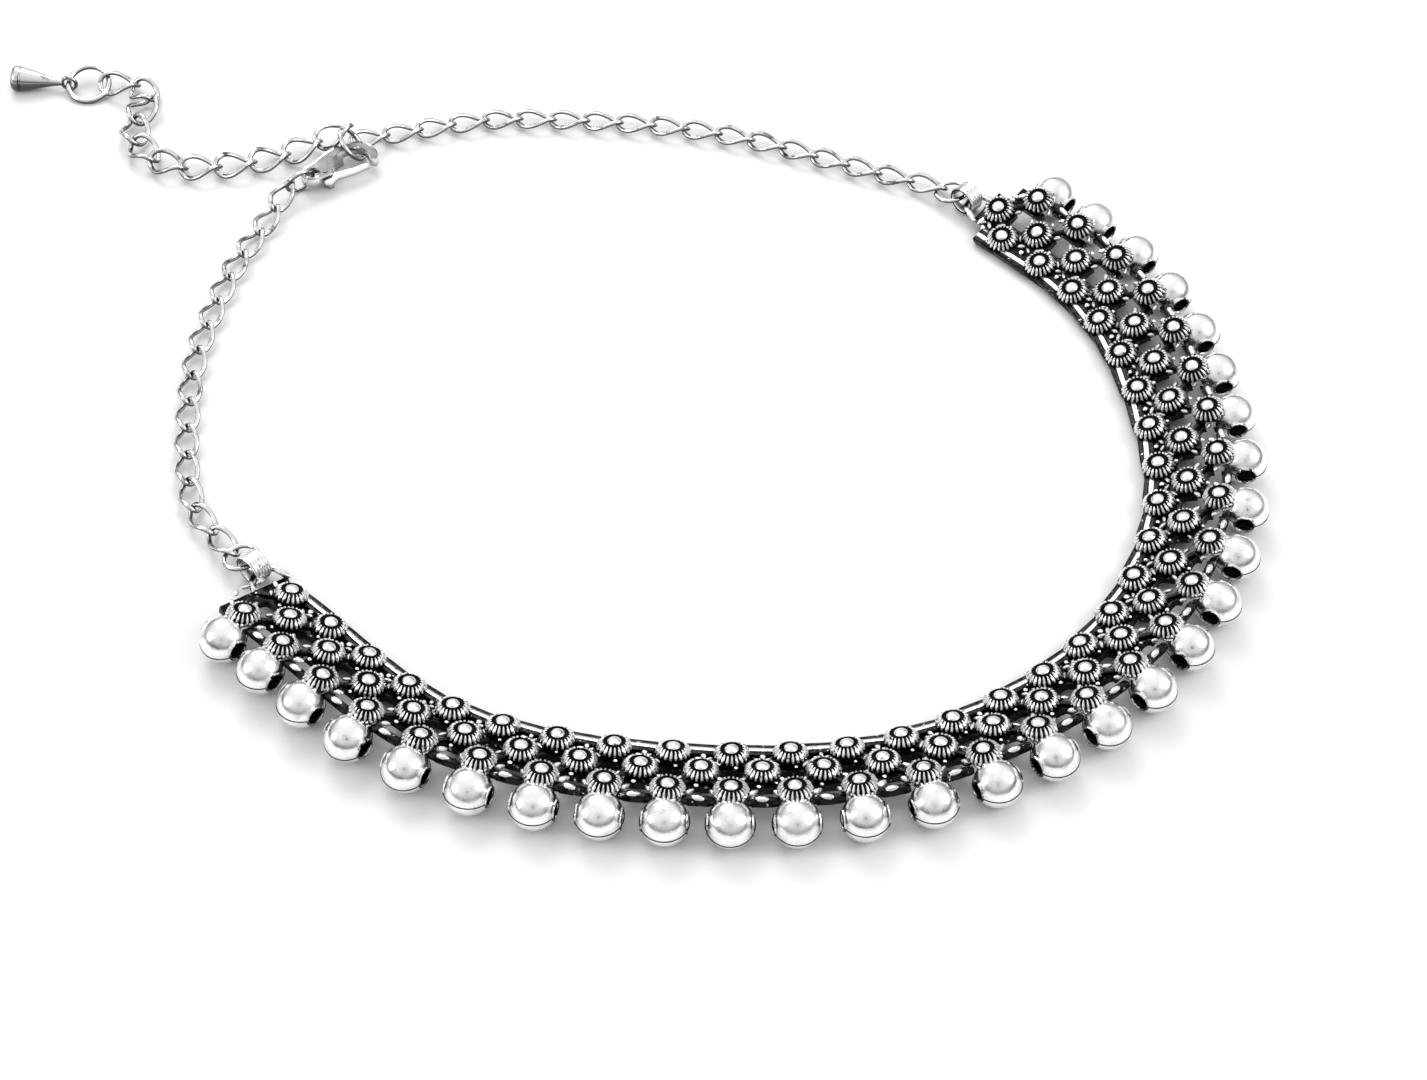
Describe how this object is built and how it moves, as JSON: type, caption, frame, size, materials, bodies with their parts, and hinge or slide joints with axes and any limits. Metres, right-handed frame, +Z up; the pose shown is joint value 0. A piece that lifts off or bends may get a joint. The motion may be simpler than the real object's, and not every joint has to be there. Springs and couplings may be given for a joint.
{
  "type": "choker necklace",
  "caption": "Choker necklace: a pierced band of rosette studs edged with hollow ball drops, on curb chains with a lobster clasp, an extension chain and a tapered end drop.",
  "frame": {"origin": "on the resting plane, under the middle of the whole necklace's bounding box", "axes": "+Z up from the resting plane, +X from the end drop towards the band's far side, +Y from the front of the band towards the chain"},
  "size_m": [0.1718, 0.1388, 0.006],
  "materials": {
    "oxidised_silver": "oxidised silver, dark in the hollows and worn bright on the high places",
    "ball_silver": "polished silver with fine scuffs",
    "chain_silver": "bright silver"
  },
  "bodies": {
    "necklace": {"woven_band": "oxidised_silver", "ball_drop_01": "ball_silver", "ball_drop_02": "ball_silver", "ball_drop_03": "ball_silver", "ball_drop_04": "ball_silver", "ball_drop_05": "ball_silver", "ball_drop_06": "ball_silver", "ball_drop_07": "ball_silver", "ball_drop_08": "ball_silver", "ball_drop_09": "ball_silver", "ball_drop_10": "ball_silver", "ball_drop_11": "ball_silver", "ball_drop_12": "ball_silver", "ball_drop_13": "ball_silver", "ball_drop_14": "ball_silver", "ball_drop_15": "ball_silver", "ball_drop_16": "ball_silver", "ball_drop_17": "ball_silver", "ball_drop_18": "ball_silver", "ball_drop_19": "ball_silver", "ball_drop_20": "ball_silver", "ball_drop_21": "ball_silver", "ball_drop_22": "ball_silver", "ball_drop_23": "ball_silver", "ball_drop_24": "ball_silver", "ball_drop_25": "ball_silver", "ball_drop_26": "ball_silver", "ball_drop_27": "ball_silver", "ball_drop_28": "ball_silver", "ball_drop_29": "ball_silver", "left_ribbed_ring": "chain_silver", "right_ribbed_ring": "chain_silver", "left_jump_ring": "chain_silver", "right_jump_ring": "chain_silver", "left_chain": "chain_silver", "right_chain": "chain_silver", "extension_chain": "chain_silver", "clasp_ring": "chain_silver", "junction_ring": "chain_silver", "clasp_body": "chain_silver", "end_ring": "chain_silver", "end_drop": "chain_silver"},
    "lever": {"clasp_lever": "chain_silver"}
  },
  "joints": [
    {"name": "clasp_lever_hinge", "type": "hinge", "parent": "necklace", "child": "lever", "pos_m": [-0.03856, 0.04598, 0.0018], "axis": [0, 0, 1], "range_deg": [0, 17], "stiffness_Nm_per_rad": 0.001}
  ]
}
